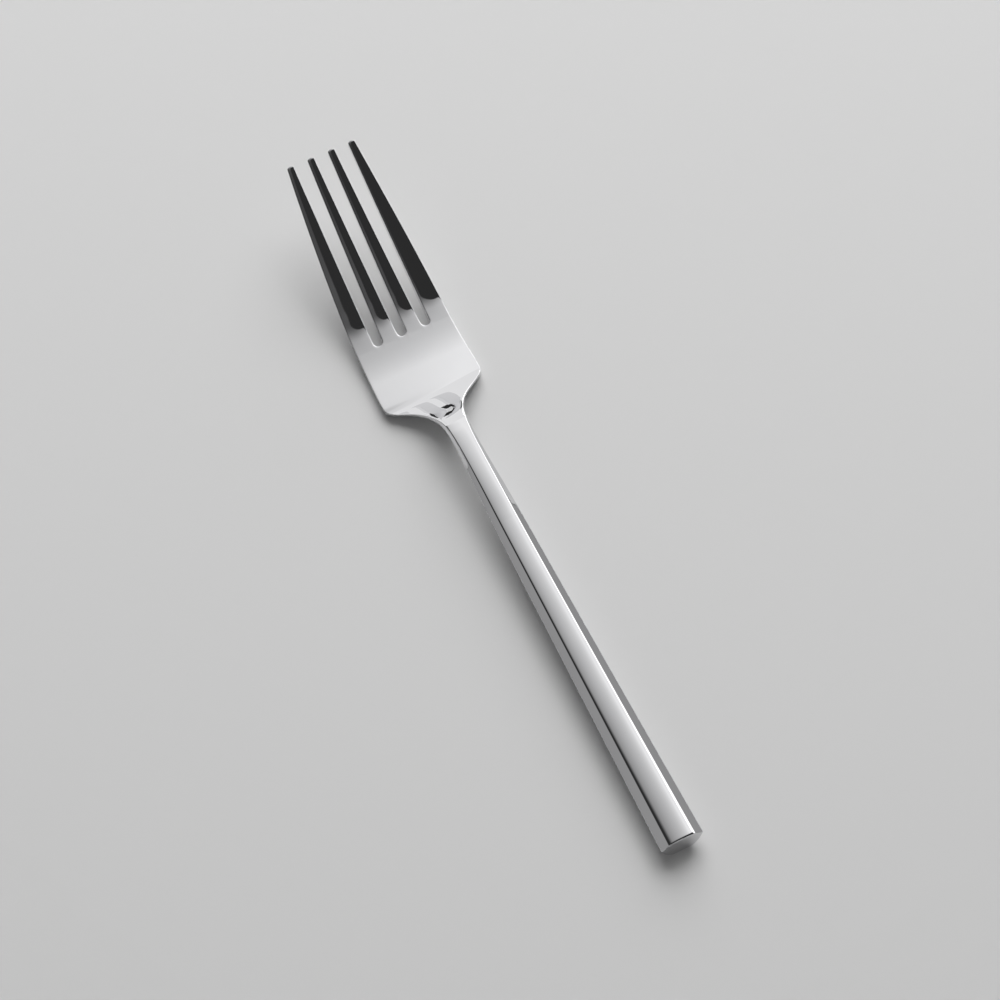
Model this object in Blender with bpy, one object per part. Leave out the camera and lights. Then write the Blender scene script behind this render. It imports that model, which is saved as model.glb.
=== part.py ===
"""A salad fork with a hollow handle, modelled as the pieces that it is brazed together from.

The fork lies on its back with its tines towards +Y. The origin is on the table, under the middle of
its length and width. Stations are distances along the fork from the butt end of the handle.
"""

import math

import bmesh
import bpy
from mathutils import Vector

MM = 0.001

# Lengths along the fork
LENGTH = 183.1 * MM
TINE_LENGTH = 43.3 * MM
BOWL_LENGTH = 15.4 * MM
FLARE_LENGTH = 14.8 * MM
SHANK_LENGTH = 23.6 * MM

# Head, seen from above
SHOULDER_WIDTH = 25.3 * MM
BOWL_FRONT_WIDTH = 23.8 * MM
TIP_SPAN = 17.2 * MM
TINE_SIDE_CURVE = 1.4
SLOT_PITCH_ROOT = 6.15 * MM
SLOT_PITCH_TIP = 5.25 * MM
SLOT_WIDTH_ROOT = 2.5 * MM
SLOT_WIDTH_TIP = 3.8 * MM
SLOT_END_ROUNDING = 0.55 * MM
NECK_TOP_WIDTH = 4.2 * MM
NECK_WIDTH = 5.2 * MM

# Head, seen from the side
BOWL_THICKNESS = 2.15 * MM
TIP_THICKNESS = 1.1 * MM
NECK_THICKNESS = 3.7 * MM
NECK_HEIGHT = 8.2 * MM
NECK_SIDE_DROP = 1.0 * MM
NECK_BEND_SHARE = 0.22
TINE_ANGLE = math.radians(20.5)
TINE_SWEEP_RADIUS = 440.0 * MM
BOWL_BEND_RADIUS = 38.0 * MM
HEEL_RADIUS = 72.0 * MM
HEEL_FROM_SHOULDERS = 2.5 * MM
LOW_POINT_FROM_SLOTS = 8.2 * MM
TINE_CROWN = 0.12 * MM
EDGE_DRAFT = 0.12 * MM

# Handle
BUTT_WIDTH = 10.4 * MM
BUTT_TOP_WIDTH = 6.4 * MM
BUTT_HEIGHT = 6.2 * MM
BUTT_RAKE = 0.6 * MM
BUTT_CHAMFER = 0.35 * MM
JOINT_WIDTH = 7.2 * MM
JOINT_TOP_WIDTH = 4.3 * MM
JOINT_HEIGHT = 7.2 * MM
JOINT_THICKNESS = 5.0 * MM
TOP_CROWN = 0.3 * MM
BUTT_SIDE_DROP = 1.5 * MM
JOINT_SIDE_DROP = 1.3 * MM
LAND_WIDTH = 2.8 * MM
LAND_LENGTH = 20.0 * MM
HANDLE_SWEEP = 1.6
TOP_TAPER_CURVE = 1.25

# Hollow handle construction
SHELL_WALL = 0.75 * MM
FIT_GAP = 0.3 * MM
CORE_WALL = 0.45 * MM
CAP_THICKNESS = 1.4 * MM
SPIGOT_LENGTH = 3.0 * MM
TANG_LENGTH = 30.0 * MM
TANG_ROOT = 4.0 * MM
TANG_WIDTH = 3.2 * MM
TANG_END_WIDTH = 2.4 * MM
TANG_NOTCH_DEPTH = 0.45 * MM
TANG_NOTCHES = 2

# The neck flares into the shoulders through these points, as shares of the flare's width and length
FLARE_OUTLINE = ((0.03, 0.18), (0.14, 0.41), (0.30, 0.62), (0.65, 0.79), (0.985, 0.94))

# Mesh density
TINES = 4
TINE_COLUMNS = 2
SLOT_COLUMNS = 2
SHANK_ROWS = (0.0, 0.08, 0.46, 0.80)
BOWL_ROWS = (0.03, 0.32, 0.62, 0.86)
TINE_ROWS = (0.0, 0.028, 0.12, 0.30, 0.52, 0.75, 0.94, 1.0)
WALL_LOOPS = 2
HEAD_SMOOTHING = 1
HANDLE_STEPS = 7
CROWN_SEGMENTS = 6
BELLY_SEGMENTS = 4
SHARP_ANGLE = math.radians(35.0)

# Stations and counts worked out from the sizes above
SLOT_STATION = LENGTH - TINE_LENGTH
SHOULDER_STATION = SLOT_STATION - BOWL_LENGTH
NECK_STATION = SHOULDER_STATION - FLARE_LENGTH
JOINT_STATION = NECK_STATION - SHANK_LENGTH
LOW_STATION = SLOT_STATION - LOW_POINT_FROM_SLOTS
HEEL_STATION = SHOULDER_STATION - HEEL_FROM_SHOULDERS
CAP_STATION = BUTT_RAKE + CAP_THICKNESS
TANG_THICKNESS = JOINT_THICKNESS - 2 * (SHELL_WALL + 2 * FIT_GAP + CORE_WALL)
TINE_AND_SLOT = TINE_COLUMNS + SLOT_COLUMNS
COLUMNS = TINES * TINE_AND_SLOT - SLOT_COLUMNS
SLOT_ROW = len(SHANK_ROWS) + len(FLARE_OUTLINE) + len(BOWL_ROWS)


def mix(start, end, share):
    """Return the value that lies the given share of the way from start to end."""
    return start + (end - start) * share


def ease(share):
    """Return a share, held between 0 and 1, eased in and out."""
    held = min(max(share, 0.0), 1.0)
    return held * held * (3.0 - 2.0 * held)


def ramp(share, bend):
    """Return a share, held between 0 and 1, on a straight ramp that is bent at both ends."""
    held = min(max(share, 0.0), 1.0)
    near = min(held, 1.0 - held)
    risen = near * near / (2 * bend) if near < bend else near - bend / 2
    return risen / (1.0 - bend) if held < 0.5 else 1.0 - risen / (1.0 - bend)


def place(x, station, z):
    """Return the point at a station in the fork's own frame."""
    return Vector((x, station - LENGTH / 2, z))


# Meshes, materials and objects


def loft(rings):
    """Return a bmesh skinned over rings of points, with its two ends closed."""
    bm = bmesh.new()
    order = bm.verts.layers.int.new("order")
    bmesh.ops.create_circle(bm, segments=len(rings[0]), radius=1.0, cap_ends=True)
    bm.verts.index_update()
    for vert in bm.verts:
        vert[order] = vert.index
        vert.co = rings[0][vert.index]
    end = bm.faces[:] + bm.edges[:]
    for ring in rings[1:]:
        end = bmesh.ops.extrude_face_region(bm, geom=end)["geom"]
        for item in end:
            if isinstance(item, bmesh.types.BMVert):
                item.co = ring[item[order]]
    bmesh.ops.recalc_face_normals(bm, faces=bm.faces)
    return bm


def finish(name, colour, roughness, metallic):
    """Return a plain material, made once."""
    material = bpy.data.materials.get(name)
    if material is None:
        material = bpy.data.materials.new(name)
        material.use_nodes = True
        shader = material.node_tree.nodes["Principled BSDF"]
        shader.inputs["Base Color"].default_value = colour
        shader.inputs["Roughness"].default_value = roughness
        shader.inputs["Metallic"].default_value = metallic
    return material


def steel():
    """Return the polished stainless steel of the head and the handle."""
    return finish("polished_stainless_steel", (0.62, 0.62, 0.63, 1.0), 0.08, 1.0)


def cement():
    """Return the pale grey casting cement of the core."""
    return finish("casting_cement", (0.46, 0.44, 0.40, 1.0), 0.9, 0.0)


def add_object(name, bm, material):
    """Put a bmesh into the scene as a smooth-shaded object and return the object."""
    mesh = bpy.data.meshes.new(name)
    bm.to_mesh(mesh)
    bm.free()
    mesh.shade_smooth()
    mesh.set_sharp_from_angle(angle=SHARP_ANGLE)
    mesh.materials.append(material)
    obj = bpy.data.objects.new(name, mesh)
    bpy.context.scene.collection.objects.link(obj)
    return obj


def guide(obj):
    """Hide an object that only shapes another one, and return it."""
    obj.hide_render = True
    obj.display_type = "WIRE"
    return obj


def combine(obj, operation, other):
    """Join another object to this one, or cut it out of this one."""
    modifier = obj.modifiers.new(other.name, "BOOLEAN")
    modifier.operation = operation
    modifier.solver = "EXACT"
    modifier.object = other


# Handle section


def handle_top(station):
    """Return the height of the handle's two top edges."""
    return mix(BUTT_HEIGHT, JOINT_HEIGHT, (station / JOINT_STATION) ** HANDLE_SWEEP)


def handle_bottom(station):
    """Return the height of the underside: on the table along the resting land, then rising."""
    rise = (station - LAND_LENGTH) / (JOINT_STATION - LAND_LENGTH)
    return (JOINT_HEIGHT - JOINT_THICKNESS) * max(rise, 0.0)


def handle_half_width(station):
    """Return half the handle's greatest width."""
    return mix(BUTT_WIDTH, JOINT_WIDTH, station / JOINT_STATION) / 2


def handle_half_top(station):
    """Return half the width of the top face."""
    to_joint = 1.0 - station / JOINT_STATION
    return mix(JOINT_TOP_WIDTH, BUTT_TOP_WIDTH, to_joint ** TOP_TAPER_CURVE) / 2


def handle_parting(station):
    """Return the height of the line along which the handle is widest and its shells part."""
    return handle_top(station) - mix(BUTT_SIDE_DROP, JOINT_SIDE_DROP, station / JOINT_STATION)


def upper_arc(station, inset, from_parting=0.0):
    """Return the section from the right parting line over the top to the left one, as (x, z) pairs."""
    half = handle_half_width(station) - inset
    half_top = handle_half_top(station) - inset / 2
    top = handle_top(station) - inset
    parting = handle_parting(station) + from_parting
    points = [(half, parting)]
    for step in range(CROWN_SEGMENTS + 1):
        across = 1.0 - 2.0 * step / CROWN_SEGMENTS
        points.append((half_top * across, top + TOP_CROWN * (1.0 - across * across)))
    points.append((-half, parting))
    return points


def lower_arc(station, inset, from_parting=0.0):
    """Return the section from the left parting line round the belly to the right one."""
    half = handle_half_width(station) - inset
    parting = handle_parting(station) - from_parting
    bottom = handle_bottom(station) + inset
    left = []
    for step in range(BELLY_SEGMENTS + 1):
        turn = math.pi / 2 * step / BELLY_SEGMENTS
        x = mix(LAND_WIDTH / 2, half, math.cos(turn))
        left.append((-x, mix(parting, bottom, math.sin(turn))))
    return left + [(-x, z) for x, z in reversed(left)]


def section_ring(station, inset):
    """Return the whole closed section, without repeating the two parting points."""
    return upper_arc(station, inset) + lower_arc(station, inset)[1:-1]


def handle_stations(start, end):
    """Return stations from start to end: the start, then evenly spaced from the end of the land."""
    return [start] + [mix(LAND_LENGTH, end, step / HANDLE_STEPS) for step in range(HANDLE_STEPS + 1)]


# Handle pieces


def build_shell(name, arc):
    """Build one half shell of the handle, from the end cap to the head joint."""
    rings = []
    for station in handle_stations(CAP_STATION + FIT_GAP, JOINT_STATION - FIT_GAP):
        wall = arc(station, 0.0, FIT_GAP / 2) + arc(station, SHELL_WALL, FIT_GAP / 2)[::-1]
        rings.append([place(x, station, z) for x, z in wall])
    add_object(name, loft(rings), steel())


def raked_station(z):
    """Return the station of the leaning end face at a height."""
    return BUTT_RAKE * (z - BUTT_CHAMFER) / BUTT_HEIGHT


def build_end_cap():
    """Build the plate that closes the butt, with its chamfered edge and locating spigot."""
    outline = section_ring(CAP_STATION, 0.0)
    face = section_ring(CAP_STATION, BUTT_CHAMFER)
    spigot = section_ring(CAP_STATION, SHELL_WALL + FIT_GAP)
    rings = [
        [place(x, raked_station(z), z) for x, z in face],
        [place(x, raked_station(z) + BUTT_CHAMFER, z) for x, z in outline],
        [place(x, CAP_STATION, z) for x, z in outline],
        [place(x, CAP_STATION, z) for x, z in spigot],
        [place(x, CAP_STATION + SPIGOT_LENGTH, z) for x, z in spigot],
    ]
    add_object("handle_end_cap", loft(rings), steel())


def tang_width(station):
    """Return the width of the tapering tang."""
    return mix(TANG_WIDTH, TANG_END_WIDTH, (JOINT_STATION - station) / TANG_LENGTH)


def flat_bar(name, side, thickness, material):
    """Return a hidden bar, centred in the shank, whose right side is given as (half width, station)."""
    outline = side + [(-half, station) for half, station in reversed(side)]
    middle = JOINT_HEIGHT - JOINT_THICKNESS / 2
    heights = (middle - thickness / 2, middle + thickness / 2)
    rings = [[place(x, station, z) for x, station in outline] for z in heights]
    return guide(add_object(name, loft(rings), material))


def tang_shape():
    """Return the tang: a tapering bar from inside the shank, notched to key into the core."""
    pitch = TANG_LENGTH / (2 * TANG_NOTCHES + 1)
    side = [(TANG_WIDTH / 2, JOINT_STATION + TANG_ROOT), (TANG_WIDTH / 2, JOINT_STATION)]
    for notch in range(TANG_NOTCHES):
        start = JOINT_STATION - pitch * (2 * notch + 1)
        end = start - pitch
        side += [
            (tang_width(start) / 2, start),
            (tang_width(start) / 2 - TANG_NOTCH_DEPTH, start),
            (tang_width(end) / 2 - TANG_NOTCH_DEPTH, end),
            (tang_width(end) / 2, end),
        ]
    side.append((TANG_END_WIDTH / 2, JOINT_STATION - TANG_LENGTH))
    return flat_bar("tang_shape", side, TANG_THICKNESS, steel())


def socket_shape():
    """Return the shape of the core's socket: the tang without its notches, and a gap all round."""
    ends = (JOINT_STATION + FIT_GAP, JOINT_STATION - TANG_LENGTH - FIT_GAP)
    side = [(tang_width(end) / 2 + FIT_GAP, end) for end in ends]
    return flat_bar("tang_socket_shape", side, TANG_THICKNESS + 2 * FIT_GAP, cement())


def build_filler():
    """Build the cast core, which fills the shells and has a socket that grips the tang."""
    inset = SHELL_WALL + FIT_GAP
    rings = []
    for station in handle_stations(CAP_STATION + SPIGOT_LENGTH + FIT_GAP, JOINT_STATION - FIT_GAP):
        rings.append([place(x, station, z) for x, z in section_ring(station, inset)])
    filler = add_object("handle_filler", loft(rings), cement())
    combine(filler, "DIFFERENCE", socket_shape())


# Fork head


def profile_height(station):
    """Return the height of the head's upper surface: tines, bowl, heel, drop from the neck, shank."""
    ahead = station - LOW_STATION
    bend = BOWL_BEND_RADIUS * math.sin(TINE_ANGLE)
    if ahead >= bend:
        risen = BOWL_BEND_RADIUS * (1.0 - math.cos(TINE_ANGLE))
        past = ahead - bend
        sweep = past * past / (2 * TINE_SWEEP_RADIUS)
        return BOWL_THICKNESS + risen + past * math.tan(TINE_ANGLE) + sweep
    if ahead >= 0.0:
        return BOWL_THICKNESS + BOWL_BEND_RADIUS - math.sqrt(BOWL_BEND_RADIUS ** 2 - ahead ** 2)
    heel = BOWL_THICKNESS + ahead * ahead / (2 * HEEL_RADIUS)
    shank = mix(JOINT_HEIGHT, NECK_HEIGHT, min((station - JOINT_STATION) / SHANK_LENGTH, 1.0))
    up_neck = (HEEL_STATION - station) / (HEEL_STATION - NECK_STATION)
    return mix(heel, shank, ramp(up_neck, NECK_BEND_SHARE))


def along_head(station, joint, neck, shoulder, tip):
    """Return a value that is given at the joint, the neck, the shoulders and slots, and the tips."""
    if station >= SLOT_STATION:
        return mix(shoulder, tip, (station - SLOT_STATION) / TINE_LENGTH)
    if station >= NECK_STATION:
        return mix(neck, shoulder, ease((station - NECK_STATION) / FLARE_LENGTH))
    return mix(joint, neck, (station - JOINT_STATION) / SHANK_LENGTH)


def tine_half_width(share):
    """Return half the width across the outer tines, a share of the way from slot ends to tips."""
    return mix(BOWL_FRONT_WIDTH, TIP_SPAN, share ** TINE_SIDE_CURVE) / 2


def head_rows():
    """Return each row of the head, from the joint to the tips, as (station, half width)."""
    rows = []
    for share in SHANK_ROWS:
        width = mix(JOINT_TOP_WIDTH, NECK_TOP_WIDTH, share)
        rows.append((JOINT_STATION + SHANK_LENGTH * share, width / 2))
    for across, share in FLARE_OUTLINE:
        width = mix(NECK_TOP_WIDTH, SHOULDER_WIDTH, across)
        rows.append((NECK_STATION + FLARE_LENGTH * share, width / 2))
    for share in BOWL_ROWS:
        width = mix(SHOULDER_WIDTH, BOWL_FRONT_WIDTH, share)
        rows.append((SHOULDER_STATION + BOWL_LENGTH * share, width / 2))
    for share in TINE_ROWS:
        rows.append((SLOT_STATION + TINE_LENGTH * share, tine_half_width(share)))
    return rows


def columns_across(station, half_width):
    """Return the x of each column: the edges and middles of the tines and of the slots between them."""
    share = max(station - SLOT_STATION, 0.0) / TINE_LENGTH
    pitch = mix(SLOT_PITCH_ROOT, SLOT_PITCH_TIP, share)
    half_slot = mix(SLOT_WIDTH_ROOT, SLOT_WIDTH_TIP, share) / 2
    outer = tine_half_width(share)
    edges = [-outer]
    for slot in range(TINES - 1):
        middle = pitch * (slot - (TINES - 2) / 2)
        edges += [middle - half_slot, middle + half_slot]
    edges.append(outer)
    columns = []
    for left, right in zip(edges, edges[1:]):
        columns += [left, (left + right) / 2]
    columns.append(outer)
    return [x * half_width / outer for x in columns]


def is_slot(column):
    """Return whether a column of faces, counted from the left, lies in a slot."""
    return column % TINE_AND_SLOT >= TINE_COLUMNS


def crown_at(row, column, station, across):
    """Return how far the upper surface swells above its edges."""
    if row > SLOT_ROW:
        return TINE_CROWN if column % TINE_AND_SLOT == TINE_COLUMNS // 2 else 0.0
    return along_head(station, TOP_CROWN, TOP_CROWN, 0.0, 0.0) * (1.0 - across * across)


def head_point(rows, row, column, level):
    """Return a point of the head. Level 0 is the upper surface, the last level is the underside."""
    station, half_width = rows[row]
    x = columns_across(station, half_width)[column]
    across = x / half_width
    if row == SLOT_ROW and column % TINE_AND_SLOT in (0, TINE_COLUMNS) and 0 < column < COLUMNS:
        station += SLOT_END_ROUNDING
    top = profile_height(station)
    bottom = top - along_head(station, JOINT_THICKNESS, NECK_THICKNESS, BOWL_THICKNESS, TIP_THICKNESS)
    flare = along_head(station, 0.0, 0.0, 1.0, 1.0)
    half_under = mix(LAND_WIDTH / 2, half_width - EDGE_DRAFT, flare)
    if level == 0:
        return place(x, station, top + crown_at(row, column, station, across))
    last_level = WALL_LOOPS + 1
    if level == last_level or 0 < column < COLUMNS:
        share = level / last_level
        return place(mix(x, across * half_under, share), station, mix(top, bottom, share))
    swell = along_head(
        station, (JOINT_WIDTH - JOINT_TOP_WIDTH) / 2, (NECK_WIDTH - NECK_TOP_WIDTH) / 2, 0.0, 0.0
    )
    parting = top - along_head(
        station, JOINT_SIDE_DROP, NECK_SIDE_DROP, BOWL_THICKNESS / last_level, TIP_THICKNESS / last_level
    )
    turn = math.pi / 2 * (level - 1) / WALL_LOOPS
    half = mix(half_under, half_width + swell, math.cos(turn))
    return place(math.copysign(half, x), station, mix(parting, bottom, math.sin(turn)))


def build_head():
    """Build the tines, bowl, neck and shank from a slotted sheet with thickness, and add the tang."""
    rows = head_rows()
    bm = bmesh.new()
    row_layer = bm.verts.layers.float.new("row")
    column_layer = bm.verts.layers.float.new("column")
    level_layer = bm.verts.layers.float.new("level")
    bmesh.ops.create_grid(bm, x_segments=COLUMNS, y_segments=len(rows) - 1, size=1.0)
    for vert in bm.verts:
        vert[column_layer] = round((vert.co.x + 1.0) / 2.0 * COLUMNS)
        vert[row_layer] = round((vert.co.y + 1.0) / 2.0 * (len(rows) - 1))

    slots = []
    for face in bm.faces:
        row = min(vert[row_layer] for vert in face.verts)
        column = min(vert[column_layer] for vert in face.verts)
        if row >= SLOT_ROW and is_slot(int(column)):
            slots.append(face)
    bmesh.ops.delete(bm, geom=slots, context="FACES")

    extruded = bmesh.ops.extrude_face_region(bm, geom=bm.faces[:])["geom"]
    for vert in extruded:
        if isinstance(vert, bmesh.types.BMVert):
            vert[level_layer] = WALL_LOOPS + 1
    walls = [edge for edge in bm.edges if edge.verts[0][level_layer] != edge.verts[1][level_layer]]
    bmesh.ops.subdivide_edges(bm, edges=walls, cuts=WALL_LOOPS, use_grid_fill=True)
    for vert in bm.verts:
        row = round(vert[row_layer])
        vert.co = head_point(rows, row, round(vert[column_layer]), round(vert[level_layer]))
    bmesh.ops.recalc_face_normals(bm, faces=bm.faces)

    crease = bm.edges.layers.float.new("crease_edge")
    for edge in bm.edges:
        levels = [round(vert[level_layer]) for vert in edge.verts]
        at_joint = all(round(vert[row_layer]) == 0 for vert in edge.verts)
        at_side = all(round(vert[column_layer]) in (0, COLUMNS) for vert in edge.verts)
        face_levels = [sum(round(vert[level_layer]) for vert in face.verts) for face in edge.link_faces]
        on_rim = levels[0] == levels[1] and levels[0] in (0, WALL_LOOPS + 1)
        on_rim = on_rim and face_levels[0] != face_levels[1]
        on_shank = all(round(vert[row_layer]) < len(SHANK_ROWS) for vert in edge.verts)
        on_parting = on_shank and at_side and levels == [1, 1]
        if on_rim or on_parting or (at_joint and at_side):
            edge[crease] = 1.0

    head = add_object("fork_head", bm, steel())
    smoothing = head.modifiers.new("smoothing", "SUBSURF")
    smoothing.levels = HEAD_SMOOTHING
    smoothing.render_levels = HEAD_SMOOTHING
    combine(head, "UNION", tang_shape())


def main():
    """Clear the scene and build every piece of the fork."""
    for obj in list(bpy.data.objects):
        bpy.data.objects.remove(obj, do_unlink=True)
    build_head()
    build_shell("handle_upper_shell", upper_arc)
    build_shell("handle_lower_shell", lower_arc)
    build_end_cap()
    build_filler()


main()
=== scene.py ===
"""A mirror-polished salad fork with a hollow handle, dressed for a studio picture.

The fork lies on its back with its tines towards +Y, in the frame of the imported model. Its joints are
brazed and ground flush, so one smooth skin runs over the whole fork. The skin is parted at the real
joints into the head, the two half shells of the handle and the end cap, and each of these is then
closed as a piece of its own. Stations are distances along the fork from the butt end of the handle.
"""

import logging
import math
from dataclasses import dataclass, field
from enum import Enum
from typing import Any, Optional, Sequence

import bmesh
import bpy
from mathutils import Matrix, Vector


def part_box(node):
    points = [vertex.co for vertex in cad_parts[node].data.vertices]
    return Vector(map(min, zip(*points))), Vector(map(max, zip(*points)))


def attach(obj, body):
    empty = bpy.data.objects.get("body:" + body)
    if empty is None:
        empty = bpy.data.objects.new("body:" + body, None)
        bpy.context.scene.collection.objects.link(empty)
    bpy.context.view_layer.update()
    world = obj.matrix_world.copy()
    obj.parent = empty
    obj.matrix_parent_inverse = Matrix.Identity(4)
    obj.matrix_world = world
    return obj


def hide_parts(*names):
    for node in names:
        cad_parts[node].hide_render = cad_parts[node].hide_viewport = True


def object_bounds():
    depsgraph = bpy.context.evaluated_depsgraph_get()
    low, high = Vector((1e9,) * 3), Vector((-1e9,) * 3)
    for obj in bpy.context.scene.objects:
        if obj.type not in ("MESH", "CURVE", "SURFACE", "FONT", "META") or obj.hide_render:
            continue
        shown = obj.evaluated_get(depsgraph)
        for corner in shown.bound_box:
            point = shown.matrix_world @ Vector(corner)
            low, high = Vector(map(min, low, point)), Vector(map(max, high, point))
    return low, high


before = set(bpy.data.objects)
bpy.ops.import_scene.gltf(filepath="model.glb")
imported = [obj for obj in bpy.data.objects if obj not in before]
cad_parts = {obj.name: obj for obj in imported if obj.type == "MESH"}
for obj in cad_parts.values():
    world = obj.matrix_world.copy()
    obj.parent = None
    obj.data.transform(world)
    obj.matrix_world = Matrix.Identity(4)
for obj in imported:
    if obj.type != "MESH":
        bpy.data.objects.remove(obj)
CAD_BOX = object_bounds()

LOG = logging.getLogger("salad_fork")
MM = 0.001
BODY = "root"
SHARP_ANGLE = math.radians(40.0)
FIT_GAP = 0.3 * MM


def mix(start: float, end: float, share: float) -> float:
    """Return the value that lies the given share of the way from start to end."""
    return start + (end - start) * share


def ease(share: float) -> float:
    """Return a share, held between 0 and 1, eased in and out."""
    held = min(max(share, 0.0), 1.0)
    return held * held * (3.0 - 2.0 * held)


def hump(share: float) -> float:
    """Return 0 at both ends of a share and 1 in its middle."""
    return 4.0 * share * (1.0 - share)


def spaced(start: float, end: float, steps: int) -> list[float]:
    """Return the ends of even steps from start to end, without the start itself."""
    return [mix(start, end, (step + 1) / steps) for step in range(steps)]


def linear(hex_colour: str) -> tuple[float, float, float, float]:
    """Turn an sRGB hex colour to linear light.

    Args:
        hex_colour: Colour as a hash and six hex digits.

    Returns:
        Linear red, green and blue, and a full alpha.
    """
    channels = []
    for start in (1, 3, 5):
        value = int(hex_colour[start:start + 2], 16) / 255.0
        channels.append(value / 12.92 if value <= 0.04045 else ((value + 0.055) / 1.055) ** 2.4)
    return (channels[0], channels[1], channels[2], 1.0)


def add_node(
    tree: bpy.types.NodeTree,
    kind: str,
    settings: Optional[dict[str, Any]] = None,
    inputs: Optional[dict[Any, Any]] = None,
) -> bpy.types.Node:
    """Add a node, set its properties and feed its inputs.

    Args:
        tree: Tree that the node goes into.
        kind: Type of the node.
        settings: Properties of the node, by name.
        inputs: Inputs by name or number. A socket is linked, and anything else is set as a value.

    Returns:
        The new node.
    """
    node = tree.nodes.new(kind)
    for name, value in (settings or {}).items():
        setattr(node, name, value)
    for name, value in (inputs or {}).items():
        if isinstance(value, bpy.types.NodeSocket):
            tree.links.new(value, node.inputs[name])
        else:
            node.inputs[name].default_value = value
    return node


class Part(Enum):
    """The pieces that the skin is parted into, by the mark that their faces carry."""

    HEAD = 0
    UPPER_SHELL = 1
    LOWER_SHELL = 2
    END_CAP = 3


@dataclass(frozen=True)
class PolishedSteel:
    """Stainless flatware steel, buffed to a mirror.

    The eye gets a clean, neutral mirror. Buffing leaves hairlines along the fork, finer than can show,
    so they are drawn about ten times as coarse, and a slow change of gloss from handling.
    """

    colour: str = "#DCDCDD"
    colour_worn: str = "#D6D6D8"
    roughness: float = 0.015
    roughness_worn: float = 0.03
    hairline_width: float = 0.12 * MM
    hairline_length: float = 6.0 * MM
    hairline_depth: float = 0.0004 * MM
    hairline_detail: float = 2.0
    handling_size: float = 9.0 * MM
    handling_detail: float = 3.0
    handling_range: tuple[float, float] = (0.35, 0.75)

    def material(self) -> bpy.types.Material:
        """Make the steel's material the first time that it is asked for.

        Returns:
            The material, which all the steel pieces share.
        """
        name = "mirror_buffed_stainless_steel"
        material = bpy.data.materials.get(name)
        if material is not None:
            return material
        material = bpy.data.materials.new(name)
        material.use_nodes = True
        tree = material.node_tree
        shader = tree.nodes["Principled BSDF"]
        shader.inputs["Metallic"].default_value = 1.0
        place = add_node(tree, "ShaderNodeTexCoord").outputs["Object"]
        across = 1.0 / self.hairline_width
        along = 1.0 / self.hairline_length
        stretched = add_node(
            tree, "ShaderNodeMapping", inputs={"Vector": place, "Scale": (across, along, across)}
        )
        hairlines = add_node(
            tree,
            "ShaderNodeTexNoise",
            inputs={
                "Vector": stretched.outputs["Vector"],
                "Scale": 1.0,
                "Detail": self.hairline_detail,
            },
        )
        handling = add_node(
            tree,
            "ShaderNodeTexNoise",
            inputs={
                "Vector": place,
                "Scale": 1.0 / self.handling_size,
                "Detail": self.handling_detail,
            },
        )
        tint = add_node(
            tree,
            "ShaderNodeMix",
            settings={"data_type": "RGBA"},
            inputs={
                "Factor": handling.outputs["Fac"],
                "A": linear(self.colour),
                "B": linear(self.colour_worn),
            },
        )
        tree.links.new(tint.outputs["Result"], shader.inputs["Base Color"])
        gloss = add_node(
            tree,
            "ShaderNodeMapRange",
            inputs={
                "Value": handling.outputs["Fac"],
                "From Min": self.handling_range[0],
                "From Max": self.handling_range[1],
                "To Min": self.roughness,
                "To Max": self.roughness_worn,
            },
        )
        tree.links.new(gloss.outputs["Result"], shader.inputs["Roughness"])
        relief = add_node(
            tree,
            "ShaderNodeBump",
            inputs={"Height": hairlines.outputs["Fac"], "Distance": self.hairline_depth},
        )
        tree.links.new(relief.outputs["Normal"], shader.inputs["Normal"])
        return material


@dataclass(frozen=True)
class CastCement:
    """Casting cement, poured into the handle and set. The eye gets a matt grey speckled with sand."""

    colour: str = "#B4B0A8"
    colour_sand: str = "#8E8A82"
    roughness: float = 0.9
    sand_size: float = 0.6 * MM
    patch_size: float = 5.0 * MM
    sand_depth: float = 0.08 * MM

    def material(self) -> bpy.types.Material:
        """Make the cement's material.

        Returns:
            The material.
        """
        material = bpy.data.materials.new("sanded_casting_cement")
        material.use_nodes = True
        tree = material.node_tree
        shader = tree.nodes["Principled BSDF"]
        shader.inputs["Roughness"].default_value = self.roughness
        place = add_node(tree, "ShaderNodeTexCoord").outputs["Object"]
        sand = add_node(
            tree, "ShaderNodeTexVoronoi", inputs={"Vector": place, "Scale": 1.0 / self.sand_size}
        )
        patches = add_node(
            tree, "ShaderNodeTexNoise", inputs={"Vector": place, "Scale": 1.0 / self.patch_size}
        )
        shade = add_node(
            tree,
            "ShaderNodeMath",
            settings={"operation": "MULTIPLY"},
            inputs={0: sand.outputs["Distance"], 1: patches.outputs["Fac"]},
        )
        tint = add_node(
            tree,
            "ShaderNodeMix",
            settings={"data_type": "RGBA"},
            inputs={
                "Factor": shade.outputs["Value"],
                "A": linear(self.colour),
                "B": linear(self.colour_sand),
            },
        )
        tree.links.new(tint.outputs["Result"], shader.inputs["Base Color"])
        relief = add_node(
            tree,
            "ShaderNodeBump",
            inputs={"Height": sand.outputs["Distance"], "Distance": self.sand_depth},
        )
        tree.links.new(relief.outputs["Normal"], shader.inputs["Normal"])
        return material


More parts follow.
